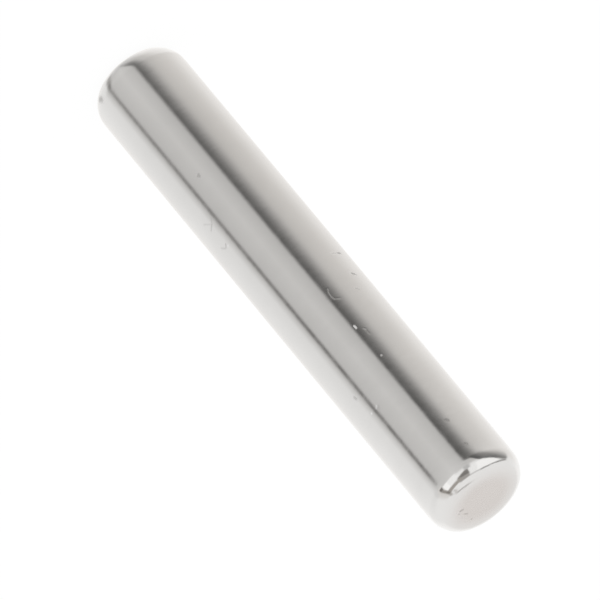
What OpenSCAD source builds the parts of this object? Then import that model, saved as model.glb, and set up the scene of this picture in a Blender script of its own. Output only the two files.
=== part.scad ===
// Dowel pin: one piece of hardened steel, ground all round to a true cylinder.
// Each end has a flat face, and a tumbled edge that rounds smoothly from the face into the wall.
// The pin stands on its lower face: its axis is +Z, and the origin is the centre of that face.

/* [Pin] */
// Diameter of the ground wall
pin_d = 6; // [5:0.5:16]
// Length over the two end faces
pin_l = 36; // [12:1:80]

/* [Rounded ends] */
// Radius of the shoulder arc, which leaves the wall
shoulder_r = 1.4; // [0.9:0.1:2]
// Radius of the tighter rim arc, which runs from the shoulder arc into the end face
rim_r = 0.65; // [0.4:0.05:0.8]

/* [Hidden] */

// Facets of a full turn, in the preview only
turn_facets = 96;

// The two arcs touch where both have turned by the angle of a 3-4-5 triangle
turn_sin = 3 / 5;
turn_cos = 4 / 5;

pin_r = pin_d / 2;
shoulder_x = pin_r - shoulder_r;
end_l = shoulder_r * turn_sin + rim_r * (1 - turn_sin);
face_r = shoulder_x + (shoulder_r - rim_r) * turn_cos;
wall_l = pin_l - 2 * end_l;

// Slice of the shoulder circle, from where the rim arc starts to well inside the wall
module shoulder_slice() {
    reach = 2 * shoulder_r;
    intersection() {
        circle(r = shoulder_r, $fn = turn_facets);
        polygon([[0, 0], [reach * turn_cos, -reach * turn_sin], [reach, reach]]);
    }
}

// Rounded edge of the lower end, in half section: X is the radius and Y the height
module edge_section() {
    translate([face_r, rim_r]) circle(r = rim_r, $fn = turn_facets);
    translate([shoulder_x, end_l]) shoulder_slice();
}

// Half section of the pin: a core from face to face, the full wall, and both rounded edges
module pin_section() {
    square([face_r, pin_l]);
    translate([0, end_l]) square([pin_r, wall_l]);
    edge_section();
    translate([0, pin_l]) mirror([0, 1]) edge_section();
}

module dowel_pin() {
    color("gainsboro") rotate_extrude($fn = turn_facets) pin_section();
}

dowel_pin();
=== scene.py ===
"""Looks of the dowel pin: its skin of ground steel with the marks of use, the studio and the camera.

Lengths that a person would measure are in millimetres and angles in degrees, and both are turned
into Blender's units where they are used. Azimuth is measured round the pin, from -Y towards +X.
"""
import math

import bpy
import numpy as np
from mathutils import Matrix, Vector


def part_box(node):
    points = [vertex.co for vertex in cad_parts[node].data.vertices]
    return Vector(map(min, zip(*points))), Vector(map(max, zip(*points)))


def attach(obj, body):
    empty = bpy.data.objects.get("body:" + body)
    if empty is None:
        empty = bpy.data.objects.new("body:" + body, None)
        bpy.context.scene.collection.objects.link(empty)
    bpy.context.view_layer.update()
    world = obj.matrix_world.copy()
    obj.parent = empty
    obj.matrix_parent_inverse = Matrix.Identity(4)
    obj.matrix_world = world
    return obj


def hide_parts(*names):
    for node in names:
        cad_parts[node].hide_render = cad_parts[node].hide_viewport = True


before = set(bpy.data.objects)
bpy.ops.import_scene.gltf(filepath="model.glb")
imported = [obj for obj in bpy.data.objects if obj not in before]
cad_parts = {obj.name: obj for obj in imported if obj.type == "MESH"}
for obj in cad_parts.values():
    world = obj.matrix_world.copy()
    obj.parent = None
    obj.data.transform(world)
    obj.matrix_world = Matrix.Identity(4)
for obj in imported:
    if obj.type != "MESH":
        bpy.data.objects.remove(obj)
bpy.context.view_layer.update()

MM = 0.001
NODE = "dowel_pin"

# The rounded ends, as the CAD part has them: the radii of the wide arc and of the tight one,
# and the tilt of the skin where the two meet
SHOULDER_R = 1.4
RIM_R = 0.65
TURN = math.asin(3 / 5)

# Before each rounded end, tumbling has left the wall leaning in: over this length, and up to this tilt
LEAN_L = 0.8
LEAN = math.radians(1.0)

# Points along each arc of the half section
RIM_POINTS = 14
SHOULDER_POINTS = 11
LEAN_POINTS = 9

# Fineness of the skin: rows up the wall, rings of the upper face and columns round the pin.
# Away from the marks, only one row in PLAIN_ROWS is kept and the columns are PLAIN_TURN apart.
FINE_ROW = 0.045
PLAIN_ROWS = 30
FINE_RING = 0.06
FINE_TURN = 0.7
PLAIN_TURN = 1.8

# How many more fine rows and rings there are past the marks, and how many degrees of fine columns
ROWS_PAST = 1.5
RINGS_PAST = 2.5
TURN_PAST = 5

# Radii of the rings of the lower face, and of those inside and outside the fine ones of the upper face
LOWER_RINGS = [0.5, 1.1, 1.7, 2.1]
INNER_RINGS = [0.4, 0.8]
OUTER_RINGS = [1.95, 2.12]

# A mark ends this many half widths from its line
MARK_REACH = 1.8

# Stands for the squared length of a dot's line, which is zero
TINY = 1e-9

# Marks in the wall: azimuth and height of each end, half width, depth, roughness, and dirt with painted
# glint.
# This is 0 for plain steel, 1 for a dark mark of dirt and -1 for a painted glint, a spot painted white
# in place of light caught in a nick.
WALL_MARKS = [
    # nicks along the dark band, one of them with a painted glint
    ((-12.4, 23.76), (-12.6, 23.94), 0.046, 0.012, 0.80, -1.0),
    ((-18.9, 24.20), (-20.3, 24.33), 0.040, 0.005, 0.25, 0.0),
    ((-19.8, 24.40), (-20.3, 24.70), 0.040, 0.004, 0.15, 0.1),
    ((-14.9, 26.32), (-14.9, 26.32), 0.060, 0.006, 0.50, 0.0),
    # curved scratch
    ((-16.5, 20.75), (-14.1, 21.02), 0.040, 0.004, 0.18, 0.0),
    ((-14.1, 21.02), (-13.6, 21.31), 0.040, 0.004, 0.18, 0.0),
    ((-13.6, 21.31), (-14.5, 21.54), 0.040, 0.004, 0.18, 0.0),
    ((-14.5, 21.54), (-20.2, 21.69), 0.040, 0.004, 0.18, 0.0),
    # dashes towards the right side
    ((-50.5, 18.58), (-63.3, 18.57), 0.060, 0.007, 0.30, 0.10),
    ((-60.0, 18.58), (-63.3, 18.57), 0.080, 0.010, 0.50, 0.30),
    ((-54.0, 20.29), (-60.2, 20.45), 0.060, 0.007, 0.30, 0.10),
    ((-55.5, 20.31), (-58.0, 20.38), 0.080, 0.008, 0.50, 0.30),
    ((-44.3, 21.49), (-46.8, 21.60), 0.070, 0.005, 0.30, 0.15),
    # dark specks
    ((-24.4, 32.12), (-25.4, 32.18), 0.090, 0.003, 0.25, 0.25),
    ((-23.6, 34.07), (-24.6, 34.12), 0.090, 0.002, 0.20, 0.12),
    ((39.6, 26.98), (38.8, 27.12), 0.090, 0.003, 0.25, 0.20),
    ((47.5, 0.84), (51.0, 0.66), 0.190, 0.010, 0.50, 0.25),
    ((14.7, 9.55), (12.3, 9.47), 0.060, 0.005, 0.30, 0.30),
    ((12.3, 9.47), (13.0, 9.65), 0.060, 0.005, 0.30, 0.30),
    # crossed scratches, and an angled one with a painted glint dot
    ((38.3, 12.27), (45.9, 12.43), 0.060, 0.002, 0.20, 0.20),
    ((33.9, 12.01), (38.3, 12.27), 0.050, 0.001, 0.12, 0.12),
    ((48.2, 11.75), (38.9, 12.26), 0.050, 0.001, 0.12, 0.12),
    ((41.3, 13.81), (44.8, 13.95), 0.060, 0.003, 0.25, 0.22),
    ((45.8, 13.94), (51.0, 13.64), 0.055, 0.002, 0.20, 0.18),
    ((40.7, 14.02), (40.7, 14.02), 0.050, 0.002, 0.20, -0.6),
    # two painted glint dots, one with a dark edge
    ((35.8, 28.56), (35.8, 28.56), 0.060, 0.002, 0.05, -1.0),
    ((24.8, 28.53), (26.5, 28.64), 0.045, 0.002, 0.05, -0.9),
    ((22.4, 28.63), (24.9, 28.79), 0.050, 0.001, 0.05, 0.12),
]

# Marks in the upper face: X and Y of each end, half width, depth, roughness and dirt
FACE_MARKS = [
    ((1.42, -0.64), (1.24, -0.59), 0.055, 0.005, 0.30, 0.38),
    ((1.32, -0.10), (1.20, 0.12), 0.050, 0.004, 0.20, 0.28),
    ((1.58, -0.45), (1.58, -0.45), 0.060, 0.004, 0.30, 0.25),
    ((1.20, 0.89), (1.20, 0.89), 0.060, 0.005, 0.30, 0.30),
]

# Radii between which the finish goes from the wall's to that of the end faces
FACE_EDGE = 2.8
FACE_MIDDLE = 1.15

# Colours of the steel. The wall and the end faces each vary between two.
WALL_STEEL = ((0.755, 0.745, 0.73, 1.0), (0.805, 0.795, 0.78, 1.0))
FACE_STEEL = ((0.643, 0.605, 0.578, 1.0), (0.673, 0.635, 0.608, 1.0))
# painted brighter reflection that the wall's foot goes towards
FOOT_SHEEN = (0.87, 0.86, 0.845, 1.0)
DIRT_COLOUR = (0.12, 0.11, 0.10, 1.0)
# painted glint: the white that bright nicks and dots go towards, in place of the light they catch
GLINT_COLOUR = (1.0, 1.0, 1.0, 1.0)

# Heights between which the wall goes towards a painted brighter reflection at its foot, and how far it
# goes
FOOT_TOP = 7.0
FOOT_LOW = 0.5
FOOT_SHARE = 0.35

# Unevenness of the steel: waves to a millimetre, detail, and how many times closer they lie
# along the pin than across it
SMUDGES = (0.5, 4.0, 1)
POLISH = (1.3, 5.0, 1)
WAVES = (1.6, 3.0, 1.4)
GRINDING = (1.5, 2.0, 14)

# Depths of the waves and of the grinding lines
WAVE_DEPTH = 0.0025
GRINDING_DEPTH = 0.0008

# Roughness of the wall from the lower to the upper of two levels of noise, and what an end face adds
POLISH_NOISE = (0.35, 0.65)
POLISH_ROUGHNESS = (0.09, 0.13)
FACE_ROUGHNESS = 0.17

# The pin mirrors a light tent with cards, bars and gaps, placed by the azimuth and the elevation of
# their direction from it. A level is a brightness, and a warmth of 0 is neutral. A blur is how many
# degrees wide an edge is. A fade says where it starts and ends, and its value at each.

# What the pin mirrors low down, by azimuth: brightness and warmth
SURROUND = [
    (-180, 0.98, 0.02),
    (-130, 0.90, 0.02),
    (-95, 0.715, 0.03),
    (-62, 0.603, 0.03),
    (-20, 0.545, 0.01),
    (-5, 0.612, 0.01),
    (15, 0.68, 0.01),
    (50, 0.60, 0.01),
    (66, 0.62, 0.01),
    (80, 0.86, 0.0),
    (120, 0.93, 0.0),
    (180, 0.98, 0.02),
]

# More light for the rounded ends, above and below what the wall mirrors: fades by elevation that
# are added up, then the share and the level of the light
END_FADES = [(-30.4, -27.0, 0.0, 1.0), (-32, -40, 0.0, 0.5)]
END_SHARE = 0.13
END_LEVEL = 1.2

# Azimuth from which "aside" is measured, to both sides
FRONT = 10.0

# Broad washes of light or shade: level, then fades that are multiplied, each with what it follows
WASHES = [
    # light from both sides, for the upper end of the wall
    (1.2, [("aside", 48, 66, 0.0, 1.0), ("elevation", -30.1, -28.4, 0.0, 0.10),
           ("elevation", -26, -18, 1.0, 0.0)]),
    # light from the lower left
    (1.2, [("azimuth", -45, -105, 0.0, 1.0), ("elevation", -32, -38, 0.0, 0.37)]),
    # shade straight below
    (0.66, [("elevation", -62, -90, 0.0, 0.95)]),
    # even light from level upwards
    (0.97, [("elevation", -8, 8, 0.0, 1.0)]),
]

# Light from behind the pin: fades that are multiplied, and its level
BEHIND_FADES = [("back", 0.6, 0.95, 0.0, 1.0), ("elevation", 27, 14, 0.0, 1.0)]
BEHIND_LEVEL = 1.10

# Bars that the pin mirrors: start, end, width, blur, brightness, warmth
FAR_BARS = [
    # faint edges high up
    ((58, 42), (66, 53), 7, 5, 0.62, 0.02),
    ((66, 53), (76, 61), 6, 5, 0.70, 0.02),
    ((45, 43), (50, 57), 7, 5, 0.66, 0.02),
    ((50, 57), (66, 66), 7, 5, 0.66, 0.02),
    ((66, 66), (98, 73), 7, 5, 0.70, 0.02),
    ((98, 73), (130, 75), 6, 4, 0.60, 0.02),
    # rim of the left window
    ((-113, 12), (-97, 25), 7, 5, 0.40, 0.02),
    ((-97, 24), (-77, 38), 12, 6, 0.36, 0.02),
    ((-77, 40), (-50, 50), 15, 8, 0.45, 0.01),
    ((-50, 49), (-14, 48), 10, 8, 0.66, 0.01),
    # left window, beside the dark mark
    ((-29, 9), (-29, 42), 22, 5, 1.0, 0.0),
    # shade and light behind the right post
    ((62, -16), (58, 42), 22, 14, 0.80, 0.02),
    ((71, -24), (71, -4), 9, 8, 0.80, 0.0),
]
NEAR_BARS = [
    # brown bar over the right window
    ((8, 32.5), (51, 29.5), 14, 6, 0.40, 0.07),
    # grey mark under the dark one
    ((-16, -3), (-16, 14), 15, 7, 0.58, 0.0),
    # right post
    ((56, -10), (55.5, 3), 9, 4, 0.20, 0.07),
    ((56, 3), (53, 24), 8, 4, 0.32, 0.07),
    ((53, 22), (54, 36), 8, 5, 0.24, 0.07),
    ((54, 36), (63, 48), 7, 5, 0.45, 0.05),
]

# Cards that the pin mirrors: corners, blurs of their edges, brightness, warmth
WINDOWS = [
    # left window
    ([(-98, 18.5), (-56, 9), (-38, 8), (-38, 42), (-60, 40), (-84, 30)], [3, 6, 5, 4, 4, 4], 1.10, 0.0),
    # right window, with its brighter side
    ([(12, -6), (49.5, -6), (49.5, 23), (16, 20), (8, 13)], [8, 4, 4, 6, 8], 1.04, 0.0),
    ([(36, -5), (49, -5), (49, 21), (36, 21)], [8, 3, 4, 5], 1.15, 0.0),
    # dark mark between the windows, then its darkest part
    ([(-15.5, 8), (0, 14), (16, 19), (18, 44), (0, 50), (-15.5, 49)], [6, 6, 7, 14, 16, 4], 0.40, 0.04),
    ([(-15, 13), (-2, 17), (14, 22), (14, 27), (-2, 32), (-15, 35)], [5, 5, 5, 5, 8, 4], 0.22, 0.05),
]

# Right edge and foot of the dark card, which its parts share
DARK_EDGE = [(-37, -15), (-40.5, -7), (-46.5, 2), (-58.5, 6.5)]
DARK_FOOT = -26.5
DARK_CARD = [
    # upper and lower parts
    ([(-35, -20), *DARK_EDGE, (-101, 15.5), (-116, 8), (-117, -2)],
     [6, 6, 7, 6, 5, 5, 8, 32], 0.26, 0.02),
    ([(-60, DARK_FOOT), (-33, DARK_FOOT), *DARK_EDGE, (-93, 16)],
     [3, 6, 6, 7, 6, 5, 26], 0.26, 0.02),
    # darkest parts
    ([(-45, DARK_FOOT), (-33, DARK_FOOT), *DARK_EDGE[:2], (-48, 0), (-58, 0)],
     [3, 6, 6, 7, 8, 16], 0.12, 0.0),
    ([(-54, -4), *DARK_EDGE[2:], (-92, 14), (-92, 5)],
     [8, 6, 5, 24, 10], 0.20, 0.0),
]

# Bars straight below and straight above the pin, placed by how far their direction goes to +X
# and to -Y, in degrees
BELOW_BARS = [
    ((41, 27), (29.5, 13.7), 9, 8, 0.29, 0.02),
    ((31.3, 16.3), (22, 0.5), 9, 8, 0.38, 0.02),
    ((23, 5), (15, -10), 9, 9, 0.48, 0.02),
]
ABOVE_BARS = [
    ((13.5, -11.0), (11.0, -7.0), 5, 4, 0.42, 0.03),
    ((13.0, -6.0), (4.5, -15.5), 6, 5, 0.40, 0.03),
    ((4.0, -13.0), (0.3, -31.0), 5, 4, 0.58, 0.02),
]

# Fades by elevation that bring in the bars below and those above
BELOW = (-35.0, -33.0, 1.0, 0.0)
ABOVE = (42.0, 44.0, 0.0, 1.0)

# Thin dark line along the wall: a narrow bar with its width and blur, fades that are multiplied,
# and its level and warmth
POST = ((59.0, -60), (59.0, 0), 8.3, 9.5)
POST_FADES = [
    ("elevation", -28.3, -27.4, 1.0, 0.0),
    ("elevation", -35.0, -33.0, 0.0, 1.0),
    ("elevation", -32.0, -30.6, 0.58, 1.0),
]
POST_TONE = (0.16, 0.03)

# Dark band along the wall, which is the foot of the dark card. These are azimuths, each the sum of
# fades by elevation: where it begins on the left, where it is full, and where its right edge is.
BAND_BEND = (-90.0, -60.0, 24.0, 0.0)
BAND_LEFT = [BAND_BEND, (-36.0, -31.8, -50.0, -64.0)]
BAND_FULL = [BAND_BEND, (-33.0, -28.0, -17.4, -25.6)]
BAND_RIGHT = [
    (-85.0, -33.0, 22.0, 0.0),
    (-92.0, -72.0, 45.0, 0.0),
    (-38.0, -31.9, 1.6, 0.0),
    (-30.0, -13.0, -18.7, -39.0),
]

# How crisp its right edge is by elevation, how it fades across that edge, and its strength, as fades
# by elevation that are multiplied
BAND_CRISP = (-31.5, -28.0, 0.9, 1.45)
BAND_PAST = (-5.3, 5.1, 1.0, 0.0)
BAND_STRENGTH = [
    (-90.0, -32.0, 0.3, 1.0),
    (-34.0, -29.5, 0.92, 1.0),
    (-26.0, -17.0, 1.0, 0.0),
]
BAND_TONE = (0.12, 0.02)

# Floor: half its side in metres, how far it lies below the pin, and how much light it scatters
# and gives off
FLOOR_HALF = 1.5
FLOOR_GAP = 0.01
FLOOR_MATT = 0.06
FLOOR_GLOW = 0.95

# Camera: a long lens and its sensor, how far off it stands, how steeply it looks down, how it is
# rolled, and how far the middle of the pin is off the middle of the view
LENS = 543.3
SENSOR = 36.0
DISTANCE = 515.3
LOOK_DOWN = 30.39
ROLL = 140.31
PIN_RIGHT = 0.327
PIN_UP = 0.801


def turned(azimuth, elevation):
    """Unit vector in a direction of the frame."""
    a = math.radians(azimuth)
    e = math.radians(elevation)
    return Vector((math.sin(a) * math.cos(e), -math.cos(a) * math.cos(e), math.sin(e)))


# ---------------------------------------------------------------- the pin


def arc(centre, radius, start, end, count):
    """Points of an arc by the tilt of its normal, from level towards straight down."""
    tilts = np.linspace(start, end, count)
    return [(centre[0] + radius * math.cos(t), centre[1] - radius * math.sin(t)) for t in tilts]


def end_rings(pin_r, radii):
    """Half section of the lower end: its face with rings of those radii, then up to the wall."""
    end_l = SHOULDER_R * math.sin(TURN) + RIM_R * (1 - math.sin(TURN))
    lean_r = LEAN_L / math.sin(LEAN)
    shoulder_x = pin_r - lean_r * (1 - math.cos(LEAN)) - SHOULDER_R * math.cos(LEAN)
    face_r = shoulder_x + (SHOULDER_R - RIM_R) * math.cos(TURN)
    face = [(radius, 0.0) for radius in radii]
    rim = arc((face_r, RIM_R), RIM_R, math.pi / 2, TURN, RIM_POINTS)
    shoulder = arc((shoulder_x, end_l), SHOULDER_R, TURN, LEAN, SHOULDER_POINTS)
    lean_start = end_l - SHOULDER_R * math.sin(LEAN) + LEAN_L
    lean = arc((pin_r - lean_r, lean_start), lean_r, LEAN, 0, LEAN_POINTS)
    return face + rim + shoulder[1:] + lean[1:]


def wall_heights(low, high):
    """Heights of the rows of the wall, close together wherever a mark is."""
    spans = []
    for start, end, half_width, *_ in WALL_MARKS:
        beyond = MARK_REACH * half_width + ROWS_PAST * FINE_ROW
        spans.append((min(start[1], end[1]) - beyond, max(start[1], end[1]) + beyond))
    kept = []
    for row, height in enumerate(np.arange(low + FINE_ROW, high - FINE_ROW / 2, FINE_ROW)):
        if row % PLAIN_ROWS == 0 or any(a <= height <= b for a, b in spans):
            kept.append(height)
    return kept


def upper_rings():
    """Radii of the rings of the upper face, close together where its marks are."""
    radii = [math.hypot(*place) for start, end, *_ in FACE_MARKS for place in (start, end)]
    beyond = RINGS_PAST * FINE_RING
    fine = np.arange(min(radii) - beyond, max(radii) + beyond, FINE_RING)
    return INNER_RINGS + list(fine) + OUTER_RINGS


def column_turns():
    """Azimuths of the columns, close together on the side that has the marks."""
    marked = [place[0] for start, end, *_ in WALL_MARKS for place in (start, end)]
    low = min(marked) - TURN_PAST
    high = max(marked) + TURN_PAST
    fine = np.arange(low, high, FINE_TURN)
    plain = np.linspace(high, low + 360, round((low + 360 - high) / PLAIN_TURN), endpoint=False)
    return np.radians(np.concatenate([fine, plain]))


def section(pin_r, pin_l):
    """Half section of the whole pin, from the middle of the lower face to that of the upper one."""
    lower = end_rings(pin_r, LOWER_RINGS)
    upper = [(r, pin_l - z) for r, z in reversed(end_rings(pin_r, upper_rings()))]
    wall = [(pin_r, z) for z in wall_heights(lower[-1][1], upper[0][1])]
    return np.array(lower + wall + upper)


def placed_marks(pin_r, pin_l):
    """Every mark with its ends as points on the skin."""
    placed = []
    for start, end, *looks in WALL_MARKS:
        ends = [turned(azimuth, 0) * pin_r + Vector((0, 0, z)) for azimuth, z in (start, end)]
        placed.append((*ends, *looks))
    for start, end, *looks in FACE_MARKS:
        placed.append((Vector((*start, pin_l)), Vector((*end, pin_l)), *looks))
    return placed


def wear(points, marks):
    """Depth, roughness, and dirt with painted glint, that the marks bring to each point of the skin."""
    worn = np.zeros((3,) + points.shape[:-1])
    for start, end, half_width, *looks in marks:
        start = np.array(start)
        along = np.array(end) - start
        share = np.clip((points - start) @ along / max(along @ along, TINY), 0, 1)
        gap = np.linalg.norm(points - start - share[..., None] * along, axis=-1)
        shape = np.clip(1 - (gap / half_width / MARK_REACH) ** 2, 0, 1) ** 2
        here = np.array(looks)[:, None, None] * shape
        worn = np.where(np.abs(here) > np.abs(worn), here, worn)
    return worn


def ring_points(pairs, around):
    """Each pair of a radius and a height, turned through every column."""
    flat = pairs[:, 0][:, None, None] * around
    height = np.broadcast_to(pairs[:, 1][:, None, None], flat.shape[:-1] + (1,))
    return np.concatenate([flat, height], -1)


def skin_points(rings, marks):
    """Points of every ring of the skin, sunk where a mark is, with the roughness and the dirt or
    painted glint at each.
    """
    turns = column_turns()
    around = np.stack([np.sin(turns), -np.cos(turns)], -1)
    slope = np.gradient(rings, axis=0)
    outward = np.stack([slope[:, 1], -slope[:, 0]], -1)
    outward /= np.linalg.norm(outward, axis=1, keepdims=True)
    points = ring_points(rings, around)
    depth, rough, dirt_and_glint = wear(points, marks)
    return points - depth[..., None] * ring_points(outward, around), rough, dirt_and_glint


def skin_faces(count, columns):
    """Quads between the rings, and a fan of triangles in the middle of each end face."""
    bottom = count * columns
    top = bottom + 1
    last = (count - 1) * columns
    faces = []
    for column in range(columns):
        beside = (column + 1) % columns
        faces.append((bottom, beside, column))
        faces.append((top, last + column, last + beside))
        for row in range(count - 1):
            under = row * columns
            over = under + columns
            faces.append((under + column, under + beside, over + beside, over + column))
    return faces


def pin():
    """The skin of the pin, which stands for the CAD solid."""
    low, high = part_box(NODE)
    pin_r = (high[0] - low[0]) / 2 / MM
    pin_l = (high[2] - low[2]) / MM
    rings = section(pin_r, pin_l)
    points, rough, dirt_and_glint = skin_points(rings, placed_marks(pin_r, pin_l))
    points = np.vstack([points.reshape(-1, 3), [(0, 0, 0), (0, 0, pin_l)]]) * MM
    mesh = bpy.data.meshes.new("pin_skin")
    mesh.from_pydata(points.tolist(), [], skin_faces(*dirt_and_glint.shape))
    for name, values in (("rough", rough), ("dirt_and_glint", dirt_and_glint)):
        worn = mesh.attributes.new(name, "FLOAT", "POINT")
        worn.data.foreach_set("value", np.append(values.reshape(-1), [0.0, 0.0]))
    mesh.shade_smooth()
    mesh.materials.append(ground_steel())
    skin = bpy.data.objects.new("pin_skin", mesh)
    bpy.context.scene.collection.objects.link(skin)
    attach(skin, "root")
    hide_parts(NODE)


# ---------------------------------------------------------------- shader nodes


class Graph:
    """Shader nodes in one tree. Its methods return the sockets that they make."""

    def __init__(self, tree):
        self.tree = tree
        tree.nodes.clear()

    def give(self, socket, value):
        """Sets a socket to a value, or links it where the value is a socket too."""
        if isinstance(value, bpy.types.NodeSocket):
            self.tree.links.new(value, socket)
        else:
            socket.default_value = value

    def node(self, kind, inputs=(), **settings):
        """A node with its settings, and with its inputs given by name or number."""
        made = self.tree.nodes.new(kind)
        for name, value in settings.items():
            setattr(made, name, value)
        for name, value in dict(inputs).items():
            self.give(made.inputs[name], value)
        return made

    def math(self, operation, *values):
        """One step of arithmetic."""
        inputs = dict(enumerate(values))
        return self.node("ShaderNodeMath", inputs, operation=operation).outputs[0]

    def joined(self, operation, values):
        """All the values, added or multiplied one after another."""
        total = values[0]
        for value in values[1:]:
            total = self.math(operation, total, value)
        return total

    def dot(self, a, b):
        """The dot product of two vectors."""
        inputs = {0: a, 1: b}
        return self.node("ShaderNodeVectorMath", inputs, operation="DOT_PRODUCT").outputs["Value"]

    def step(self, value, start, end, low=0.0, high=1.0):
        """Goes smoothly from low to high as value goes from start to end."""
        inputs = {"Value": value, "From Min": start, "From Max": end, "To Min": low, "To Max": high}
        kind = "ShaderNodeMapRange"
        return self.node(kind, inputs, interpolation_type="SMOOTHSTEP").outputs["Result"]

    def mix(self, share, under, over):
        """A colour with that share of another laid over it."""
        made = self.node("ShaderNodeMix", data_type="RGBA")
        for name, value in (("Factor", share), ("A", under), ("B", over)):
            self.give(next(s for s in made.inputs if s.name == name and s.enabled), value)
        return next(s for s in made.outputs if s.enabled)

    def attribute(self, name):
        """A number that the mesh carries at each of its points."""
        return self.node("ShaderNodeAttribute", attribute_name=name).outputs["Fac"]

    def noise(self, place, waves, detail, closer):
        """Noise in the object's own space: waves to a millimetre, and that many times more along Z."""
        spread = tuple(waves / MM * s for s in (1, 1, closer))
        inputs = {0: place, 1: spread}
        place = self.node("ShaderNodeVectorMath", inputs, operation="MULTIPLY").outputs[0]
        inputs = {"Vector": place, "Scale": 1.0, "Detail": detail}
        return self.node("ShaderNodeTexNoise", inputs).outputs["Fac"]


# ---------------------------------------------------------------- steel


def steel_colour(g, place, face):
    """Bright steel with a painted brighter reflection at the wall's foot, duller on the end faces, and
    at marks dark with dirt or painted white as a glint.
    """
    smudge = g.noise(place, *SMUDGES)
    height = g.node("ShaderNodeSeparateXYZ", {0: place}).outputs["Z"]
    # painted brighter reflection towards the wall's foot
    foot = g.step(height, FOOT_TOP * MM, FOOT_LOW * MM, 0.0, FOOT_SHARE)
    wall = g.mix(foot, g.mix(smudge, *WALL_STEEL), FOOT_SHEEN)
    clean = g.mix(face, wall, g.mix(smudge, *FACE_STEEL))
    dirt_and_glint = g.attribute("dirt_and_glint")
    # painted glint: where the mark value is below zero, the colour goes towards white
    glinted = g.mix(g.math("MULTIPLY", dirt_and_glint, -1.0), clean, GLINT_COLOUR)
    return g.mix(dirt_and_glint, glinted, DIRT_COLOUR)


def steel_roughness(g, place, face):
    """Roughness of the wall, to which the end faces and the marks add theirs."""
    polish = g.step(g.noise(place, *POLISH), *POLISH_NOISE, *POLISH_ROUGHNESS)
    return g.joined("ADD", [polish, g.math("MULTIPLY", face, FACE_ROUGHNESS), g.attribute("rough")])


def steel_normal(g, place):
    """The skin's normal, with faint waves and the fine lines that grinding leaves round the pin."""
    inputs = {"Strength": 1.0, "Distance": WAVE_DEPTH * MM, "Height": g.noise(place, *WAVES)}
    waved = g.node("ShaderNodeBump", inputs).outputs[0]
    inputs = {"Strength": 1.0, "Distance": GRINDING_DEPTH * MM, "Height": g.noise(place, *GRINDING)}
    return g.node("ShaderNodeBump", {**inputs, "Normal": waved}).outputs[0]


def ground_steel():
    """Hardened steel with a bright ground wall and duller end faces."""
    material = bpy.data.materials.new("ground_steel")
    material.use_nodes = True
    g = Graph(material.node_tree)
    place = g.node("ShaderNodeTexCoord").outputs["Object"]
    across = g.node("ShaderNodeVectorMath", {0: place, 1: (1, 1, 0)}, operation="MULTIPLY").outputs[0]
    radius = g.node("ShaderNodeVectorMath", {0: across}, operation="LENGTH").outputs["Value"]
    face = g.step(radius, FACE_EDGE * MM, FACE_MIDDLE * MM)
    inputs = {
        "Base Color": steel_colour(g, place, face),
        "Metallic": 1.0,
        "Roughness": steel_roughness(g, place, face),
        "Normal": steel_normal(g, place),
    }
    shader = g.node("ShaderNodeBsdfPrincipled", inputs)
    g.node("ShaderNodeOutputMaterial", {"Surface": shader.outputs[0]})
    return material


# ---------------------------------------------------------------- studio


def cover_bar(g, place, start, end, width, blur):
    """How far a bar from one direction to another covers each direction, with blurred edges."""
    start = Vector((*start, 0))
    end = Vector((*end, 0))
    along = (end - start).normalized()
    across = Vector((-along.y, along.x, 0))
    inputs = {0: place, 1: (start + end) / 2}
    offset = g.node("ShaderNodeVectorMath", inputs, operation="SUBTRACT").outputs[0]
    share = 1.0
    for direction, half in ((along, (end - start).length / 2), (across, width / 2)):
        reach = g.math("ABSOLUTE", g.dot(offset, direction))
        inside = g.step(reach, half - blur / 2, half + blur / 2, 1.0, 0.0)
        share = g.math("MULTIPLY", inside, share)
    return share


def cover_card(g, place, corners, blurs):
    """How far a card covers each direction. Its corners go anticlockwise, with a blur for each edge."""
    share = 1.0
    for start, end, blur in zip(corners, corners[1:] + corners[:1], blurs):
        start = Vector((*start, 0))
        along = (Vector((*end, 0)) - start).normalized()
        inward = Vector((-along.y, along.x, 0))
        depth = g.math("SUBTRACT", g.dot(place, inward), start.dot(inward))
        share = g.math("MULTIPLY", g.step(depth, -blur / 2, blur / 2), share)
    return share


def tone(level, warmth=0.0):
    """A grey of that brightness, a little warm."""
    return (level * (1 + warmth), level, level * (1 - warmth), 1.0)


def draw(g, place, colour, bars, cards=()):
    """Lays bars and then cards over a colour."""
    for start, end, width, blur, level, warmth in bars:
        cover = cover_bar(g, place, start, end, width, blur)
        colour = g.mix(cover, colour, tone(level, warmth))
    for corners, blurs, level, warmth in cards:
        cover = cover_card(g, place, corners, blurs)
        colour = g.mix(cover, colour, tone(level, warmth))
    return colour


def directions(g):
    """What the tables go by, for each direction that the pin mirrors."""
    toward = g.node("ShaderNodeTexCoord").outputs["Generated"]
    parts = g.node("ShaderNodeSeparateXYZ", {0: toward}).outputs
    front = g.math("MULTIPLY", parts["Y"], -1.0)
    azimuth = g.math("DEGREES", g.math("ARCTAN2", parts["X"], front))
    elevation = g.math("DEGREES", g.math("ARCSINE", parts["Z"]))
    flat = {"X": g.math("DEGREES", parts["X"]), "Y": g.math("DEGREES", front)}
    return {
        "azimuth": azimuth,
        "elevation": elevation,
        "aside": g.math("ABSOLUTE", g.math("SUBTRACT", azimuth, FRONT)),
        "back": parts["Y"],
        "place": g.node("ShaderNodeCombineXYZ", {"X": azimuth, "Y": elevation}).outputs[0],
        "flat": g.node("ShaderNodeCombineXYZ", flat).outputs[0],
    }


def summed(g, value, fades):
    """Sum of the fades of one value."""
    return g.joined("ADD", [g.step(value, *fade) for fade in fades])


def strength(g, ways, fades):
    """Product of the fades, each with what it follows."""
    return g.joined("MULTIPLY", [g.step(ways[way], *fade) for way, *fade in fades])


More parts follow.
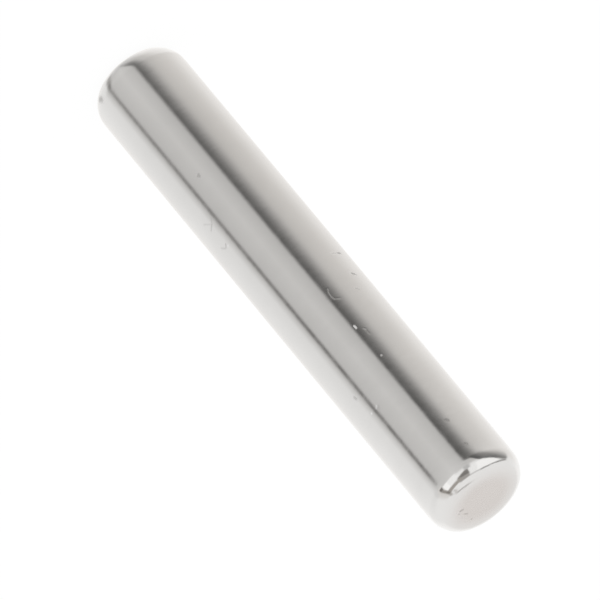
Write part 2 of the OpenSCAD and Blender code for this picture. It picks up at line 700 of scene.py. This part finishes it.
def surround(g, azimuth):
    """Light that comes from low down, by azimuth."""
    share = g.math("DIVIDE", g.math("ADD", azimuth, 180.0), 360.0)
    ramp = g.node("ShaderNodeValToRGB", {"Fac": share})
    stops = ramp.color_ramp.elements
    stops[0].position = 0.0
    stops[0].color = tone(*SURROUND[0][1:])
    stops[1].position = 1.0
    stops[1].color = tone(*SURROUND[-1][1:])
    for at, level, warmth in SURROUND[1:-1]:
        stop = stops.new((at + 180) / 360)
        stop.color = tone(level, warmth)
    return ramp.outputs["Color"]


def tent(g, ways):
    """The tent without its bars and cards."""
    colour = surround(g, ways["azimuth"])
    ends = summed(g, ways["elevation"], END_FADES)
    colour = g.mix(ends, colour, g.mix(END_SHARE, colour, tone(END_LEVEL)))
    for level, fades in WASHES:
        colour = g.mix(strength(g, ways, fades), colour, tone(level))
    behind = g.math("MULTIPLY", strength(g, ways, BEHIND_FADES), ends)
    return g.mix(behind, colour, tone(BEHIND_LEVEL))


def band(g, ways):
    """How far the dark band covers each direction: sharp on the right and soft on the left."""
    azimuth = ways["azimuth"]
    elevation = ways["elevation"]
    left, full, right = [summed(g, elevation, fades) for fades in (BAND_LEFT, BAND_FULL, BAND_RIGHT)]
    past = g.math("MULTIPLY", g.math("SUBTRACT", azimuth, right), g.step(elevation, *BAND_CRISP))
    covers = [g.step(azimuth, left, full), g.step(past, *BAND_PAST)]
    covers += [g.step(elevation, *fade) for fade in BAND_STRENGTH]
    return g.joined("MULTIPLY", covers)


def reflected(g):
    """What the pin mirrors: a light tent, with the dark cards and gaps that draw its bands."""
    ways = directions(g)
    colour = tent(g, ways)
    colour = draw(g, ways["place"], colour, FAR_BARS, WINDOWS)
    colour = draw(g, ways["place"], colour, NEAR_BARS, DARK_CARD)
    for fade, bars in ((BELOW, BELOW_BARS), (ABOVE, ABOVE_BARS)):
        there = g.step(ways["elevation"], *fade)
        colour = g.mix(there, colour, draw(g, ways["flat"], colour, bars))
    post = g.math("MULTIPLY", cover_bar(g, ways["place"], *POST), strength(g, ways, POST_FADES))
    colour = g.mix(post, colour, tone(*POST_TONE))
    return g.mix(band(g, ways), colour, tone(*BAND_TONE))


def studio():
    """Even white light. Only reflections see the tent, and the camera sees plain white."""
    world = bpy.data.worlds.new("studio")
    world.use_nodes = True
    g = Graph(world.node_tree)
    rays = g.node("ShaderNodeLightPath").outputs
    mirrored = g.node("ShaderNodeBackground", {"Color": reflected(g), "Strength": 1.0})
    plain = g.node("ShaderNodeBackground", {"Color": tone(1.0), "Strength": 1.0})
    inputs = {0: rays["Is Glossy Ray"], 1: plain.outputs[0], 2: mirrored.outputs[0]}
    both = g.node("ShaderNodeMixShader", inputs)
    g.node("ShaderNodeOutputWorld", {"Surface": both.outputs[0]})
    bpy.context.scene.world = world


def white_floor():
    """White from above, with a soft shadow, and clear from below."""
    material = bpy.data.materials.new("floor")
    material.use_nodes = True
    g = Graph(material.node_tree)
    matt = g.node("ShaderNodeBsdfDiffuse", {"Color": tone(FLOOR_MATT)})
    glow = g.node("ShaderNodeEmission", {"Color": tone(FLOOR_GLOW), "Strength": 1.0})
    top = g.node("ShaderNodeAddShader", {0: matt.outputs[0], 1: glow.outputs[0]})
    clear = g.node("ShaderNodeBsdfTransparent")
    below = g.node("ShaderNodeNewGeometry").outputs["Backfacing"]
    sides = g.node("ShaderNodeMixShader", {0: below, 1: top.outputs[0], 2: clear.outputs[0]})
    g.node("ShaderNodeOutputMaterial", {"Surface": sides.outputs[0]})
    return material


def floor():
    """White floor that keeps a soft shadow where the pin stands. Reflections look past it."""
    level = -FLOOR_GAP * MM
    corners = [(-1, -1), (1, -1), (1, 1), (-1, 1)]
    mesh = bpy.data.meshes.new("floor")
    mesh.from_pydata([(x * FLOOR_HALF, y * FLOOR_HALF, level) for x, y in corners], [], [(0, 1, 2, 3)])
    mesh.materials.append(white_floor())
    ground = bpy.data.objects.new("floor", mesh)
    bpy.context.scene.collection.objects.link(ground)
    ground.visible_glossy = False


# ---------------------------------------------------------------- camera


def camera():
    """Looks down on the pin from the -Y side, rolled over so that the pin lies aslant."""
    low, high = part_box(NODE)
    middle = (Vector(low) + Vector(high)) / 2
    back = turned(0, LOOK_DOWN)
    level_right = Vector((1, 0, 0))
    level_up = back.cross(level_right)
    roll = math.radians(ROLL)
    right = level_right * math.cos(roll) + level_up * math.sin(roll)
    up = back.cross(right)
    data = bpy.data.cameras.new("camera")
    data.lens = LENS
    data.sensor_width = SENSOR
    data.clip_start = 0.01
    data.clip_end = 10.0
    eye = bpy.data.objects.new("camera", data)
    place = middle + (back * DISTANCE - right * PIN_RIGHT - up * PIN_UP) * MM
    eye.matrix_world = Matrix.Translation(place) @ Matrix((right, up, back)).transposed().to_4x4()
    bpy.context.scene.collection.objects.link(eye)
    bpy.context.scene.camera = eye


camera()
pin()
floor()
studio()
bpy.context.scene.view_settings.view_transform = "Standard"
